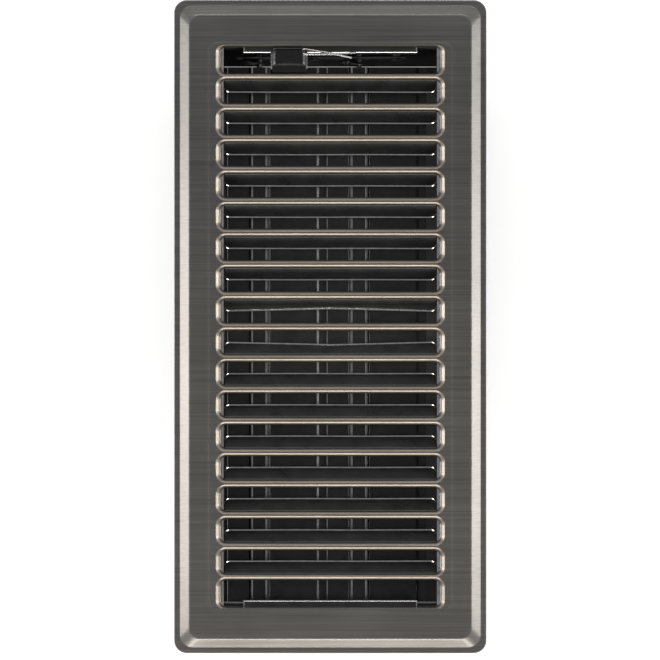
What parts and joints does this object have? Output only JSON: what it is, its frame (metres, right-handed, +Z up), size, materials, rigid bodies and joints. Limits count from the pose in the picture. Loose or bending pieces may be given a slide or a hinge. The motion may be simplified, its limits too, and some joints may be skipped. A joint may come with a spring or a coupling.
{
  "type": "louvred floor register",
  "caption": "Rectangular stamped floor register with rounded louvre slots, a drop-in steel sleeve and a damper of paired blades opened by a thumb slide.",
  "frame": {"origin": "centre of the duct opening in the plane of the floor, which is the underside of the face plate's rim", "axes": "+X across the width, +Y along the length towards the thumb slide, +Z up out of the floor"},
  "size_m": [0.1396, 0.2922, 0.0618],
  "materials": {
    "face": "dark brushed nickel plate",
    "black_sheet": "semi-gloss black paint",
    "blade_sheet": "semi-gloss black paint",
    "zinc": "zinc plate",
    "rivet": "bright steel",
    "dark_steel": "black phosphated steel",
    "stud": "black phosphated steel",
    "clip": "spring steel",
    "knob": "moulded black",
    "wire": "bright drawn wire"
  },
  "bodies": {
    "register_frame": {"face_plate": "face", "louvre_panel": "black_sheet", "box_side_left": "black_sheet", "box_side_right": "black_sheet", "box_end_upper": "black_sheet", "box_end_lower": "black_sheet", "corner_rivets": "rivet", "guide_studs": "stud"},
    "left_damper": {"blade_left": "blade_sheet", "pivot_rod_left": "zinc", "crank_left": "dark_steel", "crank_pin_left": "stud", "rod_clip_left": "clip"},
    "right_damper": {"blade_right": "blade_sheet", "pivot_rod_right": "zinc", "crank_right": "dark_steel", "crank_pin_right": "stud", "rod_clip_right": "clip"},
    "thumb_slide": {"link_bar": "dark_steel", "thumb_knob": "knob", "friction_wire": "wire"}
  },
  "joints": [
    {"name": "left_blade_hinge", "type": "hinge", "parent": "register_frame", "child": "left_damper", "pos_m": [-0.0321, 0, -0.0246], "axis": [0, 1, 0], "range_deg": [0, 70]},
    {"name": "right_blade_hinge", "type": "hinge", "parent": "register_frame", "child": "right_damper", "pos_m": [0.0129, 0, -0.0246], "axis": [0, 1, 0], "range_deg": [0, 70]},
    {"name": "thumb_slide_travel", "type": "slide", "parent": "register_frame", "child": "thumb_slide", "axis": [1, 0, 0], "range_m": [0, 0.0115]}
  ],
  "couplings": [
    {"joint": "right_blade_hinge", "follows": "left_blade_hinge", "ratio": 1},
    {"joint": "thumb_slide_travel", "follows": "left_blade_hinge", "m_per_rad": 0.00939}
  ]
}
